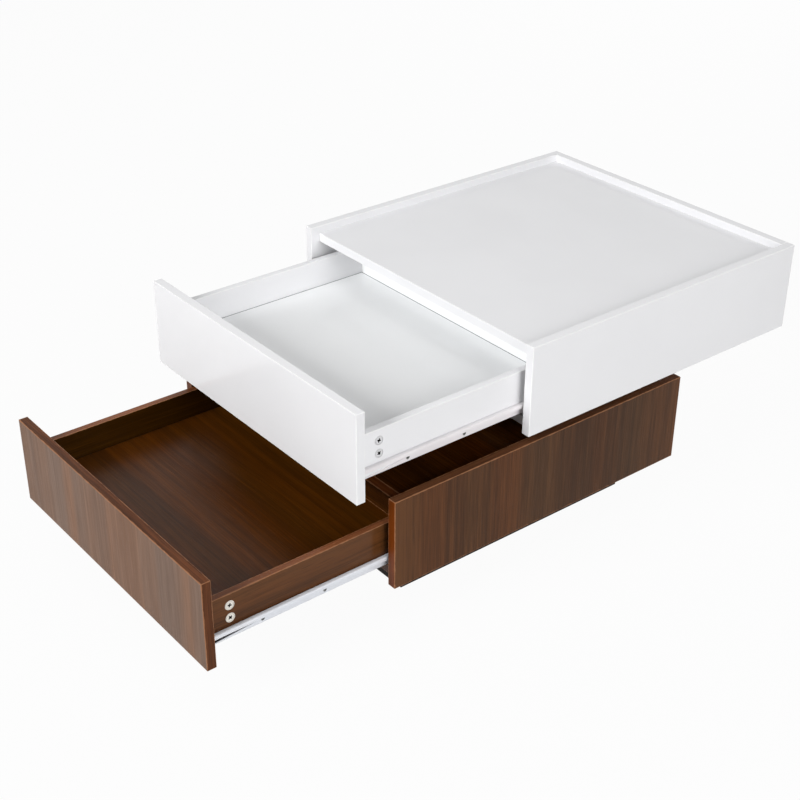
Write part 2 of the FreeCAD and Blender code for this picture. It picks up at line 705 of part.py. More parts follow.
def build_swivel(lower_top, upper_bottom):
    """Spacer, bearing and pivot, and the holes for them in the boards above and below."""
    corners = build_spacer()
    spacer_x = "(case_width / 2 - board - spacer_width / 2)"
    spacer_y = f"(case_depth / 2 + {swivel_y} - spacer_width / 2 - {panel_start} - board)"
    pilots = [(f"{spacer_x} + {across}", f"{spacer_y} + {up}") for across, up in corners]
    drill(lower_top, "XY_Plane", "board", pilots, plate_screw_hole, "spacer_screw_grip + screw_fit", -1)

    upper_level = f"{bearing_level} + plate_thickness + plate_gap"
    build_plate("swivel_lower_plate", bearing_level, True)
    build_plate("swivel_upper_plate", upper_level, False)
    build_ball_ring()

    pivot = piece("swivel_pivot", "0", swivel_y, bearing_level)
    neck = f"({bearing_height} + pivot_end_play)"
    sketch = sketch_on(pivot, "XZ_Plane")
    outline(sketch, [
        ("0", "-pivot_head"), ("pivot_head_radius", "-pivot_head"), ("pivot_head_radius", "0"),
        ("pivot_radius", "0"), ("pivot_radius", neck), ("pivot_head_radius", neck),
        ("pivot_head_radius", f"{neck} + pivot_head"), ("0", f"{neck} + pivot_head"),
    ])
    turn(pivot, sketch, "V_Axis")

    build_plate_screws("swivel_lower_screws", f"{bearing_level} + plate_thickness", -1)
    build_plate_screws("swivel_upper_screws", upper_level, 1)

    # The upper case's bottom board takes the pivot's upper head and the upper plate's screws.
    axis_x = f"({inner_width} / 2)"
    axis_y = f"(case_depth / 2 - {swivel_y} - {panel_start})"
    head_room = "2 * pivot_end_play + pivot_head"
    drill(upper_bottom, "XY_Plane", "0", [(axis_x, axis_y)], head_recess_radius, head_room, 1)
    plate_places = ring_of(plate_screw_count, "plate_screw_circle", axis_x, axis_y)
    plate_pilot = "plate_screw_grip + screw_fit"
    drill(upper_bottom, "XY_Plane", "0", plate_places, plate_screw_hole, plate_pilot, 1)


# The whole table

case_x = "-case_width / 2"
lower_y = "-case_depth / 2"
lower_z = "plinth_height"
upper_y = f"{tier_offset} - case_depth / 2"
upper_z = "plinth_height + case_height + tier_gap"

build_plinth()
lower_case = build_case("lower", lower_y, lower_z, True)
upper_case = build_case("upper", upper_y, upper_z, False)
for tier, tier_y, tier_z in (("lower", lower_y, lower_z), ("upper", upper_y, upper_z)):
    open_y = f"{tier_y} - drawer_travel"
    build_drawer(tier, case_x, open_y, tier_z)
    build_runners(tier, case_x, tier_y, open_y, tier_z)
build_swivel(lower_case["top"], upper_case["bottom"])
doc.recompute()

# Nothing is written unless every feature has worked

for item in doc.Objects:
    if "Invalid" in item.State or "Error" in item.State:
        raise RuntimeError(f"{item.Label} failed: {item.State}")
for feature in cuts:
    if feature.Shape.Volume >= feature.BaseFeature.Shape.Volume:
        raise RuntimeError(f"{feature.Label} cuts nothing")
for body in sub_parts:
    if body.Shape.isNull() or not body.Shape.isValid():
        raise RuntimeError(f"{body.Label} has no sound shape")
for body in sub_parts:
    body.Shape.exportStep(f"parts/{body.Label}.step")
print(len(sub_parts), "sub-parts written")
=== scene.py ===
# %% [markdown]
# # Dressing a swivel coffee table
# The table is two shallow cases, one on the other, each with a drawer on roller runners. The upper
# case turns on a ball bearing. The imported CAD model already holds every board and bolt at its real
# size, so this lesson starts by loading it and then only adds what a workshop would add last: the
# laminate, the lacquer, the bent steel of the runners and the small hardware.

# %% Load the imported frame
import math

import bmesh
import bpy
from mathutils import Matrix, Vector


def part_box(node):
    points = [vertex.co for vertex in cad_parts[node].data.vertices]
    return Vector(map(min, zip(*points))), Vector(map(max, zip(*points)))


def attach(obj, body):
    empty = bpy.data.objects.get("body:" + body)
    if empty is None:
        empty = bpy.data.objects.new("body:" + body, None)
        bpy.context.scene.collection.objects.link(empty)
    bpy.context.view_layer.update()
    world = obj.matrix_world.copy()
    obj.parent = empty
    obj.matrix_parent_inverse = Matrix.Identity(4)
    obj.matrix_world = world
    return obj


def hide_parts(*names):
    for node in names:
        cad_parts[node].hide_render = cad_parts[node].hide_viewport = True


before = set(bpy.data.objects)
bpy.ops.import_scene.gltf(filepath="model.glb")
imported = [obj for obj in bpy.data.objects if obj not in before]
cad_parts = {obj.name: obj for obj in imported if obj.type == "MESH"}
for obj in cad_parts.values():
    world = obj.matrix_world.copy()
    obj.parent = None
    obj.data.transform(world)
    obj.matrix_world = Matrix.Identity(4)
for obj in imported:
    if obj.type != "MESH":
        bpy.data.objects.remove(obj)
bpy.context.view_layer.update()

# %% [markdown]
# ## The camera
# The photograph looks down on the right front corner of the table. The camera could be placed by eye,
# but the corners of the boards in the picture were matched to the corners of the model, which gives the
# angle, the distance and the lens. Only a small sideways shift is kept, because every other view of the
# table inherits it.

# %% Place the camera
mm = 0.001
photo_pixels = 800
focal_pixels = 1440.0
lens_axis_column = 380.9
sensor_width = 36
camera_azimuth, camera_elevation = 51.98, 30.02
camera_distance = 2474 * mm
camera_target = Vector((0, -106.2 * mm, 194.9 * mm))


def seen_from(azimuth, elevation):
    """The direction from the table to a viewer: azimuth 0 is in front, 90 to the right."""
    turn, rise = math.radians(azimuth), math.radians(elevation)
    return Vector((math.sin(turn) * math.cos(rise), -math.cos(turn) * math.cos(rise), math.sin(rise)))


def add_object(name, data):
    """A new object at the origin, linked to the scene."""
    made = bpy.data.objects.new(name, data)
    bpy.context.scene.collection.objects.link(made)
    return made


lens = bpy.data.cameras.new("photo_lens")
lens.sensor_width = sensor_width
lens.lens = focal_pixels / photo_pixels * sensor_width
lens.shift_x = (photo_pixels / 2 - lens_axis_column) / photo_pixels
camera = add_object("photo_camera", lens)
photo_side = seen_from(camera_azimuth, camera_elevation)
camera.location = camera_target + camera_distance * photo_side
camera.rotation_euler = photo_side.to_track_quat("Z", "Y").to_euler()
bpy.context.scene.camera = camera
bpy.context.scene.view_settings.view_transform = "Standard"
print("lens", round(lens.lens, 1), "mm")

# %% [markdown]
# ## Building with nodes
# Every finish below is a small network of shader nodes. Wiring them one by one takes many lines, so short
# helpers do it. The first adds a node and feeds its inputs with values or with other sockets. The others
# build on it: they do sums, mix colours, make noise, and start or place a node group, which is how Blender
# shares an effect between materials.

# %% Node helpers
colour_mix_sockets = {"factor": 0, "first": 6, "second": 7, "result": 2}


def add_node(tree, kind, feeds, **settings):
    """Adds a node. Feeds maps an input's name or number to a socket to link, or to a plain value."""
    node = tree.nodes.new(kind)
    for key, value in settings.items():
        setattr(node, key, value)
    for key, feed in feeds.items():
        if isinstance(feed, bpy.types.NodeSocket):
            tree.links.new(feed, node.inputs[key])
        else:
            node.inputs[key].default_value = feed
    return node


def math_node(tree, operation, *feeds):
    """The result of a Math node."""
    return add_node(tree, "ShaderNodeMath", dict(enumerate(feeds)), operation=operation).outputs[0]


def vector_node(tree, operation, *feeds):
    """The result of a Vector Math node."""
    return add_node(tree, "ShaderNodeVectorMath", dict(enumerate(feeds)), operation=operation).outputs[0]


def scaled(tree, vector, factor):
    """A vector times a number."""
    return add_node(tree, "ShaderNodeVectorMath", {0: vector, "Scale": factor}, operation="SCALE").outputs[0]


def parts_of(tree, vector):
    """The X, Y and Z sockets of a vector."""
    return add_node(tree, "ShaderNodeSeparateXYZ", {0: vector}).outputs


def noise(tree, place, scale, detail, **feeds):
    """The outputs of a Noise texture. Its scale is in waves per metre."""
    feeds = {"Vector": place, "Scale": scale, "Detail": detail, **feeds}
    return add_node(tree, "ShaderNodeTexNoise", feeds).outputs


def mix_colours(tree, factor, first, second, blend="MIX"):
    """Two colours mixed by a factor."""
    feeds = {colour_mix_sockets["factor"]: factor, colour_mix_sockets["first"]: first,
             colour_mix_sockets["second"]: second}
    node = add_node(tree, "ShaderNodeMix", feeds, data_type="RGBA", blend_type=blend)
    return node.outputs[colour_mix_sockets["result"]]


def spread(tree, value, low, high, to_low=0.0, to_high=1.0):
    """A smooth ramp from to_low, where value is low, to to_high, where it is high."""
    feeds = {"Value": value, "From Min": low, "From Max": high, "To Min": to_low, "To Max": to_high}
    return add_node(tree, "ShaderNodeMapRange", feeds, interpolation_type="SMOOTHSTEP").outputs["Result"]


print("node helpers ready")


# %% Group and material helpers
def colour(red, green, blue):
    """A colour as shader sockets take it."""
    return (red, green, blue, 1.0)


def start_group(name, inputs, outputs):
    """A new shader node group, with its input sockets to read from and its output sockets to feed."""
    group = bpy.data.node_groups.new(name, "ShaderNodeTree")
    for label, kind in inputs.items():
        group.interface.new_socket(label, in_out="INPUT", socket_type=f"NodeSocket{kind}")
    for label, kind in outputs.items():
        group.interface.new_socket(label, in_out="OUTPUT", socket_type=f"NodeSocket{kind}")
    return group, group.nodes.new("NodeGroupInput").outputs, group.nodes.new("NodeGroupOutput").inputs


def place_group(tree, group, place, **values):
    """Puts a node group in a material, with a position and with values of its own."""
    feeds = {key.replace("_", " "): value for key, value in values.items()}
    return add_node(tree, "ShaderNodeGroup", {"Position": place, **feeds}, node_tree=group).outputs


def start_material(name, **constants):
    """A material with a Principled shader whose constant sockets are set, and its Object coordinates."""
    material = bpy.data.materials.new(name)
    material.use_nodes = True
    shader = material.node_tree.nodes["Principled BSDF"]
    for key, value in constants.items():
        shader.inputs[key.replace("_", " ")].default_value = value
    place = material.node_tree.nodes.new("ShaderNodeTexCoord").outputs["Object"]
    return material, shader, place


def add_bump(tree, shader, height, distance):
    """Feeds a height into the shader's normal."""
    bump = add_node(tree, "ShaderNodeBump", {"Height": height, "Distance": distance})
    tree.links.new(bump.outputs["Normal"], shader.inputs["Normal"])


def use_skin(tree, shader, skin, distance):
    """Feeds a group's colour, roughness and height into a shader."""
    tree.links.new(skin["Color"], shader.inputs["Base Color"])
    tree.links.new(skin["Roughness"], shader.inputs["Roughness"])
    add_bump(tree, shader, skin["Height"], distance)


print("group and material helpers ready")

# %% [markdown]
# ## The studio
# The photograph is a cut-out on pure white. A floor plane catches the table's soft shadow, and for what the
# camera and reflections see it is mixed most of the way to plain white. The world does the same: it shows
# white, but lights the table at a calmer level. The floor itself is a middle grey, because a white one would
# throw so much light up at the white drawer front that it would lose its shape.

# %% Floor and world
floor_size = 8.0
floor_drop = 0.2 * mm
floor_white_share = 0.955
floor_grey = colour(0.55, 0.55, 0.55)
floor_roughness = 0.9
world_light = 0.24


def sees_background(tree):
    """1 for rays from the camera, from reflections and through glass, 0 for the rest."""
    rays = tree.nodes.new("ShaderNodeLightPath").outputs
    seen = math_node(tree, "MAXIMUM", rays["Is Camera Ray"], rays["Is Glossy Ray"])
    return math_node(tree, "MAXIMUM", seen, rays["Is Transmission Ray"])


floor_mesh = bpy.data.meshes.new("studio_floor")
bm = bmesh.new()
bmesh.ops.create_grid(bm, x_segments=1, y_segments=1, size=floor_size,
                      matrix=Matrix.Translation((0, 0, -floor_drop)))
bm.to_mesh(floor_mesh)
bm.free()
studio_floor = add_object("studio_floor", floor_mesh)

floor_paint, floor_shader, _ = start_material("studio_floor_paint", Base_Color=floor_grey,
                                              Roughness=floor_roughness, Specular_IOR_Level=0.0)
tree = floor_paint.node_tree
white = add_node(tree, "ShaderNodeEmission", {"Strength": 1.0})
share = math_node(tree, "MULTIPLY", sees_background(tree), floor_white_share)
blend = add_node(tree, "ShaderNodeMixShader", {0: share, 1: floor_shader.outputs[0], 2: white.outputs[0]})
tree.links.new(blend.outputs[0], tree.nodes["Material Output"].inputs["Surface"])
floor_mesh.materials.append(floor_paint)

world = bpy.data.worlds.new("studio_white")
bpy.context.scene.world = world
world.use_nodes = True
tree = world.node_tree
strength = spread(tree, sees_background(tree), 0.0, 1.0, world_light, 1.0)
backdrop = tree.nodes["Background"]
backdrop.inputs["Color"].default_value = colour(1, 1, 1)
tree.links.new(strength, backdrop.inputs["Strength"])
print("floor", 2 * floor_size, "m square")

# %% [markdown]
# ## The lamps
# The drawer fronts and the right side are a little brighter than the top, and the fronts shade the near half
# of the drawer floors, so the light comes from low in front and from the right. A weak lamp overhead fills
# the shadows, and one behind keeps the other two sides from going dull. That one is kept out of reflections,
# because the gloss of the top would mirror it straight at the camera. All four are large squares, because
# large lamps make soft shadows, as studio softboxes do.

# %% Four soft lamps
lamp_distance = 4.5
lamp_centre = Vector((0, 0, 0.2))


def soft_lamp(name, azimuth, elevation, size, power):
    """A square lamp that faces the table."""
    light = bpy.data.lights.new(name, "AREA")
    light.size = size
    light.energy = power
    lamp = add_object(name, light)
    side = seen_from(azimuth, elevation)
    lamp.location = lamp_centre + lamp_distance * side
    lamp.rotation_euler = side.to_track_quat("Z", "Y").to_euler()
    return lamp


soft_lamp("front_softbox", azimuth=0, elevation=28, size=1.6, power=144)
soft_lamp("right_softbox", azimuth=85, elevation=20, size=2.2, power=110)
soft_lamp("overhead_softbox", azimuth=0, elevation=80, size=2.2, power=22)
soft_lamp("back_fill", azimuth=215, elevation=22, size=2.2, power=48).visible_glossy = False

# %% [markdown]
# ## Where a board's edges are
# A laminated board has three kinds of surface: the two broad faces, the thin banding glued on its narrow
# edges, and the arris, the worn line where two faces meet, which the finishes draw lighter, partly as wear
# and partly as a painted highlight. A board is a box, so a shader can work out which is which from how far a
# point lies from the box's sides. The group below takes the box's corners and gives one mask for the banding
# and one for the arris.

# %% Board edge masks
far_away = 10.0


def build_board_edges():
    """A group that finds the banding and the arris of a box-shaped board."""
    group, given, result = start_group(
        "board_edges",
        {"Position": "Vector", "Low Corner": "Vector", "High Corner": "Vector",
         "Thickness Axis": "Vector", "Arris Width": "Float"},
        {"Banding": "Float", "Arris": "Float"})
    from_low = vector_node(group, "SUBTRACT", given["Position"], given["Low Corner"])
    from_high = vector_node(group, "SUBTRACT", given["High Corner"], given["Position"])
    depth = vector_node(group, "MINIMUM", from_low, from_high)
    across = parts_of(group, depth)
    least = math_node(group, "MINIMUM", across["X"], across["Y"])
    most = math_node(group, "MAXIMUM", across["X"], across["Y"])
    second = math_node(group, "MAXIMUM", least, math_node(group, "MINIMUM", most, across["Z"]))
    wobble = spread(group, noise(group, given["Position"], 90.0, 3.0)["Fac"], 0.2, 0.8, 0.4, 1.5)
    width = math_node(group, "MULTIPLY", given["Arris Width"], wobble)
    reach = math_node(group, "DIVIDE", second, width)
    group.links.new(spread(group, reach, 0.45, 1.0, 1.0, 0.0), result["Arris"])
    axis = given["Thickness Axis"]
    along_axis = add_node(group, "ShaderNodeVectorMath", {0: depth, 1: axis}, operation="DOT_PRODUCT")
    others = parts_of(group, vector_node(group, "ADD", depth, scaled(group, axis, far_away)))
    nearest = math_node(group, "MINIMUM", math_node(group, "MINIMUM", others["X"], others["Y"]), others["Z"])
    banded = math_node(group, "LESS_THAN", nearest, along_axis.outputs["Value"])
    group.links.new(banded, result["Banding"])
    return group


board_edges = build_board_edges()
print("group", board_edges.name, len(board_edges.nodes), "nodes")

# %% [markdown]
# ## Walnut
# The lower case is covered in a straight-grained walnut laminate. Real grain is long fibres, so the pattern
# is noise that is stretched a long way in one direction. Layers at several widths give broad bands, stripes
# and hairlines, two soft tints turn some zones warmer and some greyer, and a slow wobble keeps the lines
# from looking ruled.

# %% Wood grain group
band_share, stripe_share, line_share = 0.40, 0.34, 0.26
layer_falloff = 0.62
grain_wobble = 5 * mm
warm_tint, grey_tint = colour(1.10, 0.98, 0.86), colour(0.85, 0.94, 1.06)
pore_share = 0.45


def build_wood_grain():
    """A group that gives the colour, roughness and height of straight-grained wood."""
    group, given, result = start_group(
        "wood_grain",
        {"Position": "Vector", "Stretch": "Vector", "Dark": "Color", "Light": "Color"},
        {"Color": "Color", "Roughness": "Float", "Height": "Float"})
    drift = noise(group, given["Position"], 4.0, 1.0)["Color"]
    aside = vector_node(group, "SUBTRACT", drift, (0.5, 0.5, 0.5))
    moved = vector_node(group, "ADD", given["Position"], scaled(group, aside, grain_wobble))
    along = vector_node(group, "MULTIPLY", moved, given["Stretch"])

    def layer(scale, detail, start):
        shifted = vector_node(group, "ADD", along, (start, 2 * start, 3 * start))
        return noise(group, shifted, scale, detail, Roughness=layer_falloff)["Fac"]

    bands, stripes, lines = layer(8.0, 1.0, 5.6), layer(75.0, 4.0, 1.3), layer(420.0, 2.0, 2.9)
    tone = math_node(group, "ADD", math_node(group, "MULTIPLY", bands, band_share),
                     math_node(group, "ADD", math_node(group, "MULTIPLY", stripes, stripe_share),
                               math_node(group, "MULTIPLY", lines, line_share)))
    base = mix_colours(group, spread(group, tone, 0.37, 0.63), given["Dark"], given["Light"])
    warm = spread(group, layer(13.0, 1.0, 6.7), 0.40, 0.62)
    warmed = mix_colours(group, warm, base, warm_tint, "MULTIPLY")
    grey = spread(group, layer(11.0, 1.0, 7.2), 0.42, 0.64)
    tinted = mix_colours(group, grey, warmed, grey_tint, "MULTIPLY")
    pores = spread(group, layer(900.0, 1.0, 7.3), 0.30, 0.42)
    in_pores = mix_colours(group, pore_share, tinted, given["Dark"])
    group.links.new(mix_colours(group, pores, in_pores, tinted), result["Color"])
    group.links.new(spread(group, lines, 0.3, 0.7, 0.48, 0.36), result["Roughness"])
    group.links.new(math_node(group, "MULTIPLY", pores, lines), result["Height"])
    return group


wood_grain = build_wood_grain()
print("group", wood_grain.name, len(wood_grain.nodes), "nodes")

# %% [markdown]
# Each walnut board gets its own material, because its box and the run of its grain differ. The tones are lit
# and shaded copies of one laminate: the drawer front is painted lighter and greyer as painted light, the
# outer sides are a deeper red-brown, and the inside, the drawer floor and the drawer's inner walls are
# painted darker again as painted shade. Every tone is a pair, the dark and the light of its grain. Narrow
# edges have a banding of their own, painted lighter or darker for the light and shade on each edge, and the
# front edges of the case sides a redder lipping.

# %% Walnut tones and boards
# Painted light and shade: front is a lit copy of the laminate, inside, floor and wall are shaded copies, and
# the bandings are lighter or darker for the light on each edge.
wood_tones = {
    "front": (colour(0.134, 0.076, 0.049), colour(0.208, 0.114, 0.069)),
    "side": (colour(0.046, 0.018, 0.0058), colour(0.114, 0.044, 0.0140)),
    "inside": (colour(0.034, 0.0095, 0.0008), colour(0.086, 0.0245, 0.0022)),
    "floor": (colour(0.044, 0.0124, 0.0008), colour(0.112, 0.0320, 0.0020)),
    "wall": (colour(0.028, 0.0100, 0.0005), colour(0.068, 0.0250, 0.0014)),
    "banding": (colour(0.080, 0.022, 0.006), colour(0.165, 0.048, 0.013)),
    "dark_banding": (colour(0.050, 0.0170, 0.0060), colour(0.172, 0.060, 0.022)),
    "pale_banding": (colour(0.136, 0.046, 0.018), colour(0.276, 0.096, 0.038)),
    "lipping": (colour(0.076, 0.016, 0.001), colour(0.152, 0.032, 0.003)),
}
walnut_bands = {"front": "dark_banding", "side": "dark_banding", "inside": "banding", "floor": "banding",
                "wall": "pale_banding"}
walnut_shine = {"front": 0.10, "side": 0.12, "inside": 0.13, "floor": 0.16, "wall": 0.13}
walnut_roughness = {"front": 1.0, "side": 0.9, "inside": 0.52, "floor": 0.8, "wall": 0.52}
# The arris colour is partly edge wear and partly a painted highlight.
arris_wear_and_highlight = colour(0.33, 0.150, 0.072)
# Painted shadow: the near-black wood seen through the runner's slot.
slot_shadow_paint = colour(0.004, 0.002, 0.001)
walnut_boards = {
    "lower_drawer_front": ("z", "front"), "lower_side_panel_left": ("z", "side"),
    "lower_side_panel_right": ("z", "side"), "lower_back_panel": ("z", "side"),
    "lower_top_panel": ("x", "inside"), "lower_bottom_panel": ("x", "inside"),
    "lower_front_rail": ("x", "inside"), "lower_drawer_side_left": ("y", "wall"),
    "lower_drawer_side_right": ("y", "wall"), "lower_drawer_back": ("x", "inside"),
    "lower_drawer_floor": ("x", "floor"),
}
# Drawer sides whose inner half takes the darker wall tone, as painted shade.
shaded_inside_sides = ("lower_drawer_side_left", "lower_drawer_side_right")
lipped = ("lower_side_panel_left", "lower_side_panel_right")
print(len(wood_tones), "tones for", len(walnut_boards), "boards")

# %% [markdown]
# A board's box also tells which of its faces is which. A drawer side gets painted shade on its inner half,
# which is darker than the outside, so a mask finds its outer half. Low on that half the steel of the runner
# covers the wood, which shows only through the runner's slot; there the wood is painted near black as the
# shadow in that gap. A third mask finds the front edge of a case side. The banding is cut along the edge, so
# its grain is stretched in both directions of the board's plane.

# %% Board masks and grain
axis_vectors = {"x": Vector((1, 0, 0)), "y": Vector((0, 1, 0)), "z": Vector((0, 0, 1))}
grain_squeeze = 0.025
arris_width = 1.7 * mm
skin_depth = arris_width / 10
covered_height = 19 * mm


def thickness_of(node):
    """The axis along which a board is thinnest, as a letter."""
    low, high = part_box(node)
    return min("xyz", key=lambda axis: (high - low).dot(axis_vectors[axis]))


def place_edges(tree, place, node):
    """The edge masks of a CAD board, set to its own box."""
    low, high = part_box(node)
    return place_group(tree, board_edges, place, Low_Corner=low, High_Corner=high,
                       Thickness_Axis=axis_vectors[thickness_of(node)], Arris_Width=arris_width)


def place_grain(tree, place, stretch, tone):
    """Wood grain in one of the wood tones."""
    dark, light = wood_tones[tone]
    return place_group(tree, wood_grain, place, Stretch=stretch, Dark=dark, Light=light)


def squeezed(axes):
    """A stretch that draws a pattern out along the named axes."""
    return Vector([grain_squeeze if axis in axes else 1.0 for axis in "xyz"])


def faces_out(tree, place, node):
    """1 on the half of an upright side board that is turned away from the table's middle, 0 on the other."""
    low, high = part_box(node)
    across = math_node(tree, "ABSOLUTE", parts_of(tree, place)["X"])
    return math_node(tree, "GREATER_THAN", across, abs(low.x + high.x) / 2)


def slot_shadow_zone(tree, place, node):
    """1 on the low part of a drawer side, which the runner covers and which is painted as the shadow seen
    through its slot, 0 above it.
    """
    return math_node(tree, "LESS_THAN", parts_of(tree, place)["Z"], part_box(node)[0].z + covered_height)


def front_edge(tree, place, node):
    """1 on the face of a board that is turned to the front, 0 elsewhere."""
    return math_node(tree, "LESS_THAN", parts_of(tree, place)["Y"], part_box(node)[0].y + skin_depth)


print("drawn out", round(1 / grain_squeeze), "times along the grain")

# %% Walnut on the lower boards
arris_share = 0.75
walnut_relief = 0.1 * mm


def dress(node, material):
    """Gives a CAD node one material."""
    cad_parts[node].data.materials.clear()
    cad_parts[node].data.materials.append(material)


def walnut_board(node, grain_axis, tone):
    """A laminate with banded edges and a lighter arris, partly wear and partly painted highlight, for one
    board.
    """
    material, shader, place = start_material(f"walnut_{node}", Specular_IOR_Level=walnut_shine[tone])
    tree = material.node_tree
    masks = place_edges(tree, place, node)
    face = place_grain(tree, place, squeezed(grain_axis), tone)
    broad = face["Color"]
    if node in shaded_inside_sides:
        outer = place_grain(tree, place, squeezed(grain_axis), "side")["Color"]
        # Paints the low outer face near black, as the shadow behind the runner's slot.
        outside = mix_colours(tree, slot_shadow_zone(tree, place, node), outer, slot_shadow_paint)
        broad = mix_colours(tree, faces_out(tree, place, node), broad, outside)
    board_plane = "xyz".replace(thickness_of(node), "")
    narrow = place_grain(tree, place, squeezed(board_plane), walnut_bands[tone])["Color"]
    if node in lipped:
        lipping = place_grain(tree, place, squeezed("z"), "lipping")["Color"]
        narrow = mix_colours(tree, front_edge(tree, place, node), narrow, lipping)
    surface = mix_colours(tree, masks["Banding"], broad, narrow)
    # Paints the lighter arris: partly wear, partly painted highlight.
    worn_and_lit = math_node(tree, "MULTIPLY", masks["Arris"], arris_share)
    tree.links.new(mix_colours(tree, worn_and_lit, surface, arris_wear_and_highlight), shader.inputs["Base Color"])
    roughness = math_node(tree, "MULTIPLY", face["Roughness"], walnut_roughness[tone])
    tree.links.new(roughness, shader.inputs["Roughness"])
    add_bump(tree, shader, face["Height"], walnut_relief)
    dress(node, material)


for node, (grain_axis, tone) in walnut_boards.items():
    walnut_board(node, grain_axis, tone)
print(len(walnut_boards), "walnut boards")

# %% [markdown]
# ## White lacquer
# The upper case is sprayed with a high-gloss white. A mirror-smooth white would look like plastic film, so
# the group below adds what a sprayed coat has: a fine orange-peel ripple and a hardly visible change of tone
# and of gloss. The board's edge mask adds a line of plainer white along each arris, partly worn coat and
# partly a painted highlight.

# %% Sprayed coat group
def build_sprayed_coat():
    """A group that gives the colour, roughness and ripple of a sprayed coat."""
    group, given, result = start_group(
        "sprayed_coat",
        {"Position": "Vector", "Pale": "Color", "Shade": "Color", "Smooth": "Float", "Rough": "Float"},
        {"Color": "Color", "Roughness": "Float", "Height": "Float"})
    place = given["Position"]
    cloud = spread(group, noise(group, place, 5.0, 3.0)["Fac"], 0.3, 0.7)
    group.links.new(mix_colours(group, cloud, given["Pale"], given["Shade"]), result["Color"])
    gloss = spread(group, noise(group, place, 14.0, 4.0)["Fac"], 0.3, 0.7, given["Smooth"], given["Rough"])
    group.links.new(gloss, result["Roughness"])
    group.links.new(noise(group, place, 420.0, 1.0)["Fac"], result["Height"])
    return group


sprayed_coat = build_sprayed_coat()


def place_coat(tree, place, pale, shade, smooth, rough):
    """The sprayed coat in two nearby colours, with its range of roughness."""
    return place_group(tree, sprayed_coat, place, Pale=pale, Shade=shade, Smooth=smooth, Rough=rough)


print("group", sprayed_coat.name, len(sprayed_coat.nodes), "nodes")

# %% White lacquer on the upper boards
lacquer_tones = {
    "gloss": (colour(0.83, 0.83, 0.845), colour(0.81, 0.81, 0.825)),
    "drawer": (colour(0.90, 0.91, 0.915), colour(0.88, 0.89, 0.895)),
}
# Arris white: partly worn coat, partly painted highlight.
lacquer_arris_wear_and_highlight = colour(0.86, 0.86, 0.86)
lacquer_shine, lacquer_smooth, lacquer_rough = 0.3, 0.10, 0.17
lacquer_ripple = 0.01 * mm
# Painted light: the drawer back and floor are painted paler than the other white boards; the floor partly
# also as a brighter faced sheet.
paler_boards = ("upper_drawer_back", "upper_drawer_floor")
lacquer_boards = [f"upper_{part}" for part in (
    "side_panel_left", "side_panel_right", "back_panel", "top_panel", "bottom_panel",
    "drawer_front", "drawer_side_left", "drawer_side_right", "drawer_back", "drawer_floor")]


def lacquer_board(node):
    """A gloss white coat for one board."""
    material, shader, place = start_material(f"lacquer_{node}", Specular_IOR_Level=lacquer_shine)
    tree = material.node_tree
    masks = place_edges(tree, place, node)
    tone = "drawer" if node in paler_boards else "gloss"
    coat = place_coat(tree, place, *lacquer_tones[tone], lacquer_smooth, lacquer_rough)
    coloured = mix_colours(tree, masks["Arris"], coat["Color"], lacquer_arris_wear_and_highlight)
    tree.links.new(coloured, shader.inputs["Base Color"])
    tree.links.new(coat["Roughness"], shader.inputs["Roughness"])
    add_bump(tree, shader, coat["Height"], lacquer_ripple)
    dress(node, material)


for node in lacquer_boards:
    lacquer_board(node)
print(len(lacquer_boards), "lacquered boards")

# %% [markdown]
# ## The drawer floors
# A drawer floor is a thin sheet of hardboard that sits in grooves, and where it meets the boards round it the
# shaded gap of the groove shows as a fine dark line, painted here as shadow. It is faced on its upper side
# only: its back stays raw and brown, and the glossy boards below mirror it. The CAD sheet is one solid with
# one finish, so the finish is told where those lines and the lower face are: there the faced colour gives way
# to a painted shadow or to a fibrous brown.

# %% Painted groove shadows above, raw hardboard below
tiers = ("lower", "upper")
hardboard_dark, hardboard_light = colour(0.045, 0.027, 0.014), colour(0.085, 0.053, 0.030)
hardboard_roughness = 0.85
joint_width = 1.3 * mm
# Painted shadow colours of the groove gaps.
joint_shadows = {"lower": colour(0.004, 0.002, 0.001), "upper": colour(0.22, 0.24, 0.24)}


def floor_finish(tier):
    """The node tree, the shader and the Object coordinates of a drawer floor's finish."""
    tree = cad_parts[f"{tier}_drawer_floor"].data.materials[0].node_tree
    return tree, tree.nodes["Principled BSDF"], tree.nodes["Texture Coordinate"].outputs["Object"]


def paint_over(tree, shader, mask, paint):
    """Puts a colour over what feeds the shader's base colour, where a mask is 1."""
    before = shader.inputs["Base Color"].links[0].from_socket
    tree.links.new(mix_colours(tree, mask, before, paint), shader.inputs["Base Color"])


def groove_shadow_lines(tier):
    """Paints a shadow line on a drawer floor along the boards round it, where a real one shows the shaded gap
    of its groove.
    """
    tree, shader, place = floor_finish(tier)
    at = parts_of(tree, place)
    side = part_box(f"{tier}_drawer_side_right")[0].x
    near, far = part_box(f"{tier}_drawer_front")[1].y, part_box(f"{tier}_drawer_back")[0].y
    to_side = math_node(tree, "SUBTRACT", side, math_node(tree, "ABSOLUTE", at["X"]))
    to_ends = math_node(tree, "MINIMUM", math_node(tree, "SUBTRACT", at["Y"], near),
                        math_node(tree, "SUBTRACT", far, at["Y"]))
    gap = math_node(tree, "LESS_THAN", math_node(tree, "MINIMUM", to_side, to_ends), joint_width)
    paint_over(tree, shader, gap, joint_shadows[tier])


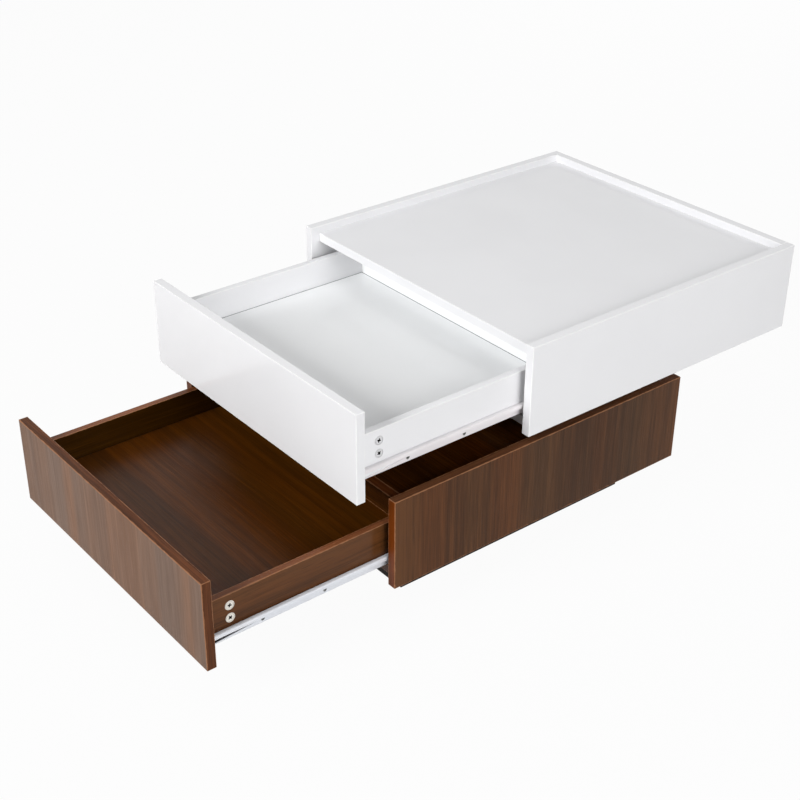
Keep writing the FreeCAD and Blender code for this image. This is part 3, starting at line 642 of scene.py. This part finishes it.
def raw_back(tier):
    """Adds a raw hardboard back to the finish of a drawer floor."""
    tree, shader, place = floor_finish(tier)
    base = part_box(f"{tier}_drawer_floor")[0].z
    below = math_node(tree, "LESS_THAN", parts_of(tree, place)["Z"], base + skin_depth)
    fibres = spread(tree, noise(tree, place, 240.0, 5.0)["Fac"], 0.35, 0.65)
    paint_over(tree, shader, below, mix_colours(tree, fibres, hardboard_dark, hardboard_light))
    faced = shader.inputs["Roughness"].links[0].from_socket
    tree.links.new(spread(tree, below, 0.0, 1.0, faced, hardboard_roughness), shader.inputs["Roughness"])


for tier in tiers:
    groove_shadow_lines(tier)
    raw_back(tier)
print("joint lines and hardboard backs on both drawers")

# %% [markdown]
# ## Plinth, spacer and dowels
# The plinth is set back in shadow and is nearly black, the spacer under the bearing is a dark board, and the
# dowels and pegs are bare beech. All three are wood, so they reuse the grain group with other tones.

# %% Dark boards and beech
wood_tones["plinth"] = (colour(0.010, 0.006, 0.004), colour(0.026, 0.016, 0.011))
wood_tones["spacer"] = (colour(0.030, 0.026, 0.022), colour(0.060, 0.052, 0.045))
wood_tones["beech"] = (colour(0.42, 0.27, 0.15), colour(0.62, 0.44, 0.27))
plain_shine = 0.06
plain_relief = 0.2 * mm
plain_wood = {"swivel_spacer": ("x", "spacer")}
for side in ("front", "back", "middle", "left", "right"):
    plain_wood[f"plinth_{side}"] = ("y" if side in ("left", "right") else "x", "plinth")
for tier in tiers:
    plain_wood[f"{tier}_case_dowels"] = ("x", "beech")
    plain_wood[f"{tier}_drawer_pegs"] = ("x", "beech")


def plain_wood_finish(grain_axis, tone):
    """Wood with one tone all over."""
    material, shader, place = start_material(f"{tone}_along_{grain_axis}", Specular_IOR_Level=plain_shine)
    tree = material.node_tree
    use_skin(tree, shader, place_grain(tree, place, squeezed(grain_axis), tone), plain_relief)
    return material


wood_finishes = {kind: plain_wood_finish(*kind) for kind in dict.fromkeys(plain_wood.values())}
for node, kind in plain_wood.items():
    dress(node, wood_finishes[kind])
print(len(wood_finishes), "plain wood finishes")

# %% [markdown]
# ## Metals and plastics
# The bearing plates are galvanised, the screws are zinc plated, and the balls are polished. Metal shows its
# character in how its roughness changes, so one group gives a mottled colour and roughness, and each metal
# sets its own two colours and range. Paint and plastic reuse the sprayed coat.

# %% Worn metal group
metal_relief = 0.02 * mm


def build_worn_metal():
    """A group that gives a mottled metal colour and roughness."""
    group, given, result = start_group(
        "worn_metal",
        {"Position": "Vector", "Bright": "Color", "Dull": "Color", "Smooth": "Float", "Rough": "Float"},
        {"Color": "Color", "Roughness": "Float", "Height": "Float"})
    flakes = add_node(group, "ShaderNodeTexVoronoi", {"Vector": given["Position"], "Scale": 220.0})
    tone = add_node(group, "ShaderNodeSeparateColor", {0: flakes.outputs["Color"]}).outputs[0]
    cloud = noise(group, given["Position"], 150.0, 4.0)["Fac"]
    mottle = math_node(group, "MULTIPLY_ADD", tone, 0.5, math_node(group, "MULTIPLY", cloud, 0.5))
    group.links.new(mix_colours(group, mottle, given["Bright"], given["Dull"]), result["Color"])
    group.links.new(spread(group, mottle, 0.2, 0.8, given["Smooth"], given["Rough"]), result["Roughness"])
    group.links.new(cloud, result["Height"])
    return group


worn_metal = build_worn_metal()


def metal_finish(name, bright, dull, smooth, rough):
    """A metal in two nearby colours."""
    material, shader, place = start_material(name, Metallic=1.0)
    tree = material.node_tree
    skin = place_group(tree, worn_metal, place, Bright=bright, Dull=dull, Smooth=smooth, Rough=rough)
    use_skin(tree, shader, skin, metal_relief)
    return material


print("group", worn_metal.name, len(worn_metal.nodes), "nodes")

# %% The hidden hardware
galvanised = metal_finish("galvanised_plate", colour(0.52, 0.53, 0.55), colour(0.40, 0.41, 0.43), 0.32, 0.5)
polished = metal_finish("polished_ball", colour(0.62, 0.62, 0.63), colour(0.55, 0.55, 0.56), 0.08, 0.16)
zinc = metal_finish("zinc_screw", colour(0.42, 0.42, 0.41), colour(0.30, 0.30, 0.29), 0.28, 0.42)
hidden_hardware = {
    galvanised: ["swivel_lower_plate", "swivel_upper_plate", "swivel_ball_cage"],
    polished: ["swivel_balls"],
    zinc: ["swivel_pivot", "swivel_lower_screws", "swivel_upper_screws", "swivel_spacer_screws",
           "lower_cam_bolts", "upper_cam_bolts"],
}
for material, nodes in hidden_hardware.items():
    for node in nodes:
        dress(node, material)
print([material.name for material in hidden_hardware])

# %% Paint and plastic finishes
paint_gloss, nylon_gloss, cap_gloss, recess_gloss = (0.28, 0.42), (0.38, 0.5), (0.3, 0.4), (0.6, 0.8)
paint_ripple, nylon_ripple = 0.02 * mm, 0.03 * mm
full_shine, recess_shine = 0.5, 0.05


def coated_finish(name, pale, shade, gloss, ripple=paint_ripple, shine=full_shine):
    """A sprayed or moulded surface in two nearby colours, with its smoothest and roughest gloss."""
    material, shader, place = start_material(name, Specular_IOR_Level=shine)
    tree = material.node_tree
    use_skin(tree, shader, place_coat(tree, place, pale, shade, *gloss), ripple)
    return material


runner_paints = {
    "lower": coated_finish("runner_paint_cool", colour(0.78, 0.80, 0.84), colour(0.72, 0.74, 0.79),
                           paint_gloss),
    "upper": coated_finish("runner_paint_warm", colour(0.80, 0.77, 0.785), colour(0.74, 0.70, 0.715),
                           paint_gloss),
}
nylon = coated_finish("roller_nylon", colour(0.78, 0.77, 0.74), colour(0.70, 0.69, 0.66),
                      nylon_gloss, nylon_ripple)
cam_caps = {
    "lower": coated_finish("cam_cap_cream", colour(0.80, 0.77, 0.71), colour(0.74, 0.70, 0.63), cap_gloss),
    "upper": coated_finish("cam_cap_grey", colour(0.70, 0.70, 0.71), colour(0.60, 0.60, 0.61), cap_gloss),
}
# Painted shadow: a near-black paint for the inside of cross recesses.
recess_shadow_paint = coated_finish("recess_shadow", colour(0.010, 0.009, 0.008), colour(0.016, 0.014, 0.012),
                            recess_gloss, shine=recess_shine)
print("paints:", [material.name for material in runner_paints.values()])

# %% [markdown]
# ## Modelling helpers
# The new pieces are made in bmesh, Blender's mesh editor for scripts. Four helpers cover most of the work:
# one turns a profile round an axis, one splits a set of faces along a plane, one opens a round hole in a
# flat sheet, and one hands the finished mesh to the frame, so that it rides on the right body.

# %% Turning and splitting
turn_steps = 32
touching = 0.001 * mm


def only(kind, items):
    """The items of one bmesh kind."""
    return [item for item in items if isinstance(item, kind)]


def turned(bm, profile, centre):
    """Turns a profile of (radius, along x) points, in millimetres, about the x axis through a centre."""
    before = set(bm.verts)
    verts = [bm.verts.new(centre + Vector((along, 0, radius)) * mm) for radius, along in profile]
    edges = [bm.edges.new(pair) for pair in zip(verts, verts[1:])]
    bmesh.ops.spin(bm, geom=verts + edges, cent=centre, axis=(1, 0, 0), angle=2 * math.pi,
                   steps=turn_steps, use_merge=True)
    made = [vert for vert in bm.verts if vert not in before]
    bmesh.ops.remove_doubles(bm, verts=made, dist=touching)
    made = [vert for vert in bm.verts if vert not in before]
    bmesh.ops.recalc_face_normals(bm, faces=list({face for vert in made for face in vert.link_faces}))


def split(bm, faces, point, normal):
    """Cuts a set of faces along a plane and gives back what they have become."""
    geometry = list({item for face in faces for item in (*face.verts, *face.edges, face)})
    cut = bmesh.ops.bisect_plane(bm, geom=geometry, plane_co=point, plane_no=normal, dist=touching)
    return only(bmesh.types.BMFace, cut["geom"])


print("turned pieces have", turn_steps, "sides")

# %% Round holes and handing over
hole_margin = 1.2
rim_cuts = 3
sharp_angle = math.radians(32)


def upright_faces(bm, x):
    """The faces of a sheet that stand upright in the plane at x."""
    return [face for face in bm.faces if all(abs(vert.co.x - x) < touching for vert in face.verts)]


def round_hole(bm, centre, radius):
    """Opens a round hole in the upright faces of a sheet that hold its centre."""
    half = hole_margin * radius
    faces = upright_faces(bm, centre.x)
    for axis in (Vector((0, 1, 0)), Vector((0, 0, 1))):
        for side in (-half, half):
            faces = split(bm, faces, centre + side * axis, axis)
    patch = min(faces, key=lambda face: (face.calc_center_median() - centre).length)
    rim = list(patch.edges)
    bmesh.ops.delete(bm, geom=[patch], context="FACES_ONLY")
    pieces = bmesh.ops.subdivide_edges(bm, edges=rim, cuts=rim_cuts)["geom_split"]
    rim = [edge for edge in only(bmesh.types.BMEdge, pieces) if edge.is_boundary]
    around = Matrix.Translation(centre) @ Matrix.Rotation(math.pi / 2, 4, "Y")
    circle = bmesh.ops.create_circle(bm, segments=len(rim), radius=radius, matrix=around)
    ring = list({edge for vert in circle["verts"] for edge in vert.link_edges})
    bmesh.ops.bridge_loops(bm, edges=rim + ring)


def finish_piece(name, bm, body, nodes, materials):
    """Makes a piece of a bmesh: it rides on a body and stands for CAD nodes."""
    mesh = bpy.data.meshes.new(name)
    bm.to_mesh(mesh)
    bm.free()
    for material in materials:
        mesh.materials.append(material)
    mesh.shade_smooth()
    mesh.set_sharp_from_angle(angle=sharp_angle)
    made = add_object(name, mesh)
    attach(made, body)
    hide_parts(*nodes)
    print(name, len(mesh.polygons), "faces")


print("a hole's rim has", 4 * (rim_cuts + 1), "sides")

# %% [markdown]
# ## Drawer members of the runners
# Each drawer hangs on two strips of painted steel, bent to a Z: a foot under the drawer side, a web against
# it, and a rounded flange that reaches over the roller in the case. A box would miss the bends, so the strip
# is drawn as one bent line, its corners are rounded with a vertex bevel, and the line is drawn out into a
# sheet. The tapered slot and the screw holes are cut while it is still a sheet. Only then does it get its
# thickness.

# %% Sheet steel helpers
steel = 1.2 * mm
screw_hole = 3.6 * mm
bend_steps = 5


def round_corners(bm, corners, radius):
    """Rounds corners that lie in one plane."""
    bmesh.ops.bevel(bm, geom=corners, offset=radius, segments=bend_steps, profile=0.5,
                    affect="VERTICES", material=-1)


def bent_sheet(bm, line, bends, start, length):
    """A sheet along y: a bent line of (x, z) points with rounded corners, drawn out from start."""
    verts = [bm.verts.new((x, start, z)) for x, z in line]
    for pair in zip(verts, verts[1:]):
        bm.edges.new(pair)
    for corner, radius in zip(verts[1:-1], bends):
        round_corners(bm, [corner], radius)
    drawn = bmesh.ops.extrude_edge_only(bm, edges=bm.edges[:])
    bmesh.ops.translate(bm, verts=only(bmesh.types.BMVert, drawn["geom"]), vec=(0, length, 0))


def thicken(bm):
    """Gives a sheet its thickness, away from the wood."""
    bmesh.ops.remove_doubles(bm, verts=bm.verts[:], dist=touching)
    bmesh.ops.recalc_face_normals(bm, faces=bm.faces[:])
    if upright_faces(bm, 0)[0].normal.x > 0:
        bmesh.ops.reverse_faces(bm, faces=bm.faces[:])
    bmesh.ops.solidify(bm, geom=bm.faces[:], thickness=steel)


def set_in_place(bm, hand, corner):
    """Mirrors a right-hand piece for the left side, and moves it so that its own origin is at a corner."""
    if hand == "left":
        bmesh.ops.scale(bm, vec=(-1, 1, 1), verts=bm.verts[:])
        bmesh.ops.reverse_faces(bm, faces=bm.faces[:])
        corner = Vector((-corner.x, corner.y, corner.z))
    bmesh.ops.translate(bm, verts=bm.verts[:], vec=corner)


print("steel", round(steel / mm, 2), "mm thick")

# %% Bend the drawer members
hands = ("left", "right")
drawer_line = [Vector(point) * mm for point in ((-12, 30), (0, 30), (0, 49.5), (8.5, 49.5), (8.5, 43.5))]
drawer_bends = [0.5 * mm, 1.6 * mm, 2.8 * mm]
drawer_runner_length = 400 * mm
drawer_holes = [Vector((0, along, 36.5)) * mm for along in (88, 200, 360)]
slot_start, slot_end = 2 * mm, 80 * mm
slot_low, slot_high = (31.2 * mm, 36.8 * mm), (41.0 * mm, 37.6 * mm)
rear_axle = Vector((0, 390, 33)) * mm
rear_axle_profile = [(0, 11), (2.2, 11), (3.0, 10.85), (3.0, 10.7), (2.2, 10.7), (2.2, 5.3), (3.4, 5.3),
                     (3.4, 1), (0, 1)]


def cut_slot(bm):
    """Cuts the tapered slot out of the front end of the web."""
    web = upright_faces(bm, 0)
    for end in (slot_start, slot_end):
        web = split(bm, web, (0, end, 0), (0, 1, 0))
    strip = [face for face in web if slot_start < face.calc_center_median().y < slot_end]
    for near, far in (slot_low, slot_high):
        strip = split(bm, strip, (0, slot_start, near), (0, near - far, slot_end - slot_start))
    strip.sort(key=lambda face: face.calc_center_median().z)
    bmesh.ops.delete(bm, geom=[strip[1]], context="FACES")


def drawer_member(tier, hand):
    """The strip under one drawer side, with the axle of its rear roller."""
    bm = bmesh.new()
    bent_sheet(bm, drawer_line, drawer_bends, 0, drawer_runner_length)
    cut_slot(bm)
    for hole in drawer_holes:
        round_hole(bm, hole, screw_hole)
    thicken(bm)
    turned(bm, rear_axle_profile, rear_axle)
    low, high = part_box(f"{tier}_drawer_side_right")
    case_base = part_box(f"{tier}_side_panel_right")[0].z
    set_in_place(bm, hand, Vector((high.x, low.y, case_base)))
    finish_piece(f"{tier}_drawer_strip_{hand}", bm, f"{tier}_drawer",
                 [f"{tier}_drawer_runner_{hand}"], [runner_paints[tier]])


for tier in tiers:
    for hand in hands:
        drawer_member(tier, hand)

# %% [markdown]
# ## Case members of the runners
# Inside the case, a lipped channel carries the drawer's rear roller, and a tab in front of it has a roller of
# its own. The channel is bent in the same way as the drawer's strip. The tab is the web's front edge,
# extruded twice: first a flare that rises to the tab's height, then the tab, whose two front corners are
# rounded.

# %% Bend the case members
case_bodies = {"lower": "base", "upper": "top_case"}
channel_line = [Vector(point) * mm for point in (
    (8.8, 28), (8.8, 25), (0, 25), (0, 41), (8.8, 41), (8.8, 38))]
channel_bends = [1.4 * mm] * 4
channel_start, channel_length = 28 * mm, 382 * mm
channel_holes = [Vector((0, along, 33)) * mm for along in (112, 219, 371.8)]
tab_flare, tab_base, tab_top, tab_round = 8 * mm, 25 * mm, 49 * mm, 5 * mm
panel_start = 18 * mm
front_axle = Vector((0, 13, 40)) * mm
front_axle_profile = [(0, 10.95), (2.2, 10.95), (3.2, 10.8), (3.2, 10.65), (2.2, 10.65), (2.2, 5.6),
                      (3.0, 5.6), (3.0, 1), (0, 1)]


def add_tab(bm):
    """Draws the web's front edge out into a flared tab."""
    edges = [edge for edge in bm.edges if edge.is_boundary and all(
        abs(vert.co.x) < touching and abs(vert.co.y - channel_start) < touching for vert in edge.verts)]
    for step in (tab_flare, channel_start - tab_flare):
        drawn = bmesh.ops.extrude_edge_only(bm, edges=edges)["geom"]
        verts, edges = only(bmesh.types.BMVert, drawn), only(bmesh.types.BMEdge, drawn)
        edges = [edge for edge in edges if all(vert in verts for vert in edge.verts)]
        bmesh.ops.translate(bm, verts=verts, vec=(0, -step, 0))
        for vert in verts:
            vert.co.z = tab_top if vert.co.z > front_axle.z - tab_flare else tab_base
    round_corners(bm, verts, tab_round)


def case_member(tier, hand):
    """The channel on one case side, with the axle of its front roller."""
    bm = bmesh.new()
    bent_sheet(bm, channel_line, channel_bends, channel_start, channel_length)
    for hole in channel_holes:
        round_hole(bm, hole, screw_hole)
    add_tab(bm)
    thicken(bm)
    turned(bm, front_axle_profile, front_axle)
    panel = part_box(f"{tier}_side_panel_left")
    set_in_place(bm, "right", Vector((panel[1].x, panel[0].y + panel_start, panel[0].z)))
    if hand == "right":
        set_in_place(bm, "left", Vector((0, 0, 0)))
    finish_piece(f"{tier}_case_channel_{hand}", bm, case_bodies[tier],
                 [f"{tier}_case_runner_{hand}"], [runner_paints[tier]])


for tier in tiers:
    for hand in hands:
        case_member(tier, hand)

# %% [markdown]
# ## Rollers
# The rollers are small nylon wheels: a hub round the axle, a thin dished web and a rounded rim. A turned
# profile gives all of that in one spin, and both wheels of a pair go into one mesh, because the frame has
# them on one body.

# %% Turn the rollers
axle_bore = 2.26
roller_sizes = {
    "front": {"radius": 8, "width": 4.6, "hub": 3.6, "rim": 5.9},
    "rear": {"radius": 6.5, "width": 5, "hub": 3.4, "rim": 4.7},
}


def roller_profile(radius, width, hub, rim):
    """A wheel's outline in millimetres, as (radius, along) points that end where they start."""
    side, dish, slope, ease = width / 2, 0.8, 0.3, 0.9
    round_in, round_off = 0.25, 0.3
    half = [(axle_bore, side), (hub, side), (hub + slope, side - dish), (rim, side - dish),
            (rim + slope, side), (radius - ease, side), (radius - round_in, side - round_off),
            (radius, side - ease)]
    return half + [(point, -along) for point, along in reversed(half)] + half[:1]


for tier in tiers:
    for end, sizes in roller_sizes.items():
        node = f"{tier}_{end}_rollers"
        low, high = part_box(node)
        middle = (low + high) / 2
        inset = sizes["width"] / 2 * mm
        bm = bmesh.new()
        for x in (low.x + inset, high.x - inset):
            turned(bm, roller_profile(**sizes), Vector((x, middle.y, middle.z)))
        finish_piece(f"{tier}_{end}_wheels", bm, node, [node], [nylon])

# %% [markdown]
# ## Cam locks and screws
# A cam lock shows as a pale disc with a dark cross in the drawer side, and a runner screw as a small head
# with a cross in the steel. Both are a turned body whose face is left open round the middle. A
# twelve-cornered cross outline is bridged to that opening, and its edges are pushed in to make the recess.
# The recess's walls and bottom are painted near black, as painted shadow.

# %% Cross recess helper
def cross_recess(bm, profile, cross, tilt, place):
    """A turned piece along +x with a cross recess in its face, moved by a place matrix."""
    arm, half_width, depth = cross
    before = set(bm.verts)
    turned(bm, profile, Vector((0, 0, 0)))
    mouth = [edge for edge in bm.edges if edge.is_boundary and not before.intersection(edge.verts)]
    face_level = profile[0][1] * mm
    corners = []
    for quarter in range(4):
        turn = Matrix.Rotation(tilt + quarter * math.pi / 2, 3, "X")
        for across, up in ((arm, -half_width), (arm, half_width), (half_width, half_width)):
            corners.append(bm.verts.new(turn @ Vector((face_level, across * mm, up * mm))))
    ring = [bm.edges.new((corners[k - 1], corners[k])) for k in range(len(corners))]
    bmesh.ops.bridge_loops(bm, edges=mouth + ring)
    pushed = bmesh.ops.extrude_edge_only(bm, edges=ring)["geom"]
    deep = only(bmesh.types.BMVert, pushed)
    bmesh.ops.translate(bm, verts=deep, vec=(-depth * mm, 0, 0))
    sides = only(bmesh.types.BMEdge, pushed)
    bmesh.ops.contextual_create(bm, geom=[edge for edge in sides if all(vert in deep for vert in edge.verts)])
    # The recess's walls and bottom take the second material, a painted shadow.
    for face in {face for vert in deep for face in vert.link_faces}:
        face.material_index = 1
    made = [vert for vert in bm.verts if vert not in before]
    bmesh.ops.recalc_face_normals(bm, faces=list({face for vert in made for face in vert.link_faces}))
    bmesh.ops.transform(bm, matrix=place, verts=made)


faces_right = Matrix.Identity(4)
faces_left = Matrix.Rotation(math.pi, 4, "Z")
print("cross recess with", 4 * 3, "corners")

# %% Cam locks in the drawer sides
cam_profile = [(4.4, 0.15), (6.0, 0.15), (6.1, -0.9), (6.8, -0.9), (6.9, 0.4), (7.5, 0.5), (7.85, 0.35),
               (7.95, 0.05), (7.4, 0.05), (7.4, -9.4), (0, -9.4)]
cam_arm, cam_half_width, cam_depth = 3.4, 1.2, 3.0
cam_setback = 34 * mm
cam_levels = [64 * mm, 86 * mm]
cam_tilts = [math.radians(35), math.radians(72)]

for tier in tiers:
    bm = bmesh.new()
    low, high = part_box(f"{tier}_drawer_side_right")
    case_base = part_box(f"{tier}_side_panel_right")[0].z
    for level, tilt in zip(cam_levels, cam_tilts):
        for x, way in ((high.x, faces_right), (-high.x, faces_left)):
            place = Matrix.Translation((x, low.y + cam_setback, case_base + level)) @ way
            cross_recess(bm, cam_profile, (cam_arm, cam_half_width, cam_depth), tilt, place)
    finish_piece(f"{tier}_cam_caps", bm, f"{tier}_drawer", [f"{tier}_cam_locks"],
                 [cam_caps[tier], recess_shadow_paint])

# %% Runner screws
screw_arm, screw_half_width, screw_depth = 2.5, 1.0, 1.0
strip_screw_length, channel_screw_length = 10, 13


def screw_profile(length):
    """A flat-head screw's outline in millimetres, with its head level with the steel."""
    return [(2.9, 0.05), (3.2, 0.05), (3.4, -0.1), (3.4, -1.1), (2.0, -1.3), (2.0, -length), (0, -length)]


def screw_heads(wood_face, out, origin, holes, length):
    """One runner pair's screws as a bmesh. Heads point out from the table's middle (out 1) or in (out -1)."""
    bm = bmesh.new()
    for count, hole in enumerate(holes):
        for side in (1, -1):
            x = side * (wood_face + out * steel)
            way = faces_right if side * out > 0 else faces_left
            place = Matrix.Translation((x, origin.y + hole.y, origin.z + hole.z)) @ way
            cross = (screw_arm, screw_half_width, screw_depth)
            cross_recess(bm, screw_profile(length), cross, count + side, place)
    return bm


for tier in tiers:
    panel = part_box(f"{tier}_side_panel_right")
    drawer_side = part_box(f"{tier}_drawer_side_right")
    strip_origin = Vector((0, drawer_side[0].y, panel[0].z))
    bm = screw_heads(drawer_side[1].x, 1, strip_origin, drawer_holes, strip_screw_length)
    finish_piece(f"{tier}_strip_screws", bm, f"{tier}_drawer",
                 [f"{tier}_drawer_runner_screws"], [zinc, recess_shadow_paint])
    channel_origin = Vector((0, panel[0].y + panel_start, panel[0].z))
    bm = screw_heads(panel[0].x, -1, channel_origin, channel_holes, channel_screw_length)
    finish_piece(f"{tier}_channel_screws", bm, case_bodies[tier],
                 [f"{tier}_case_runner_screws"], [zinc, recess_shadow_paint])

# %% [markdown]
# ## Finished
# The looks must not change the table's size.

print("all finishes and pieces in place")
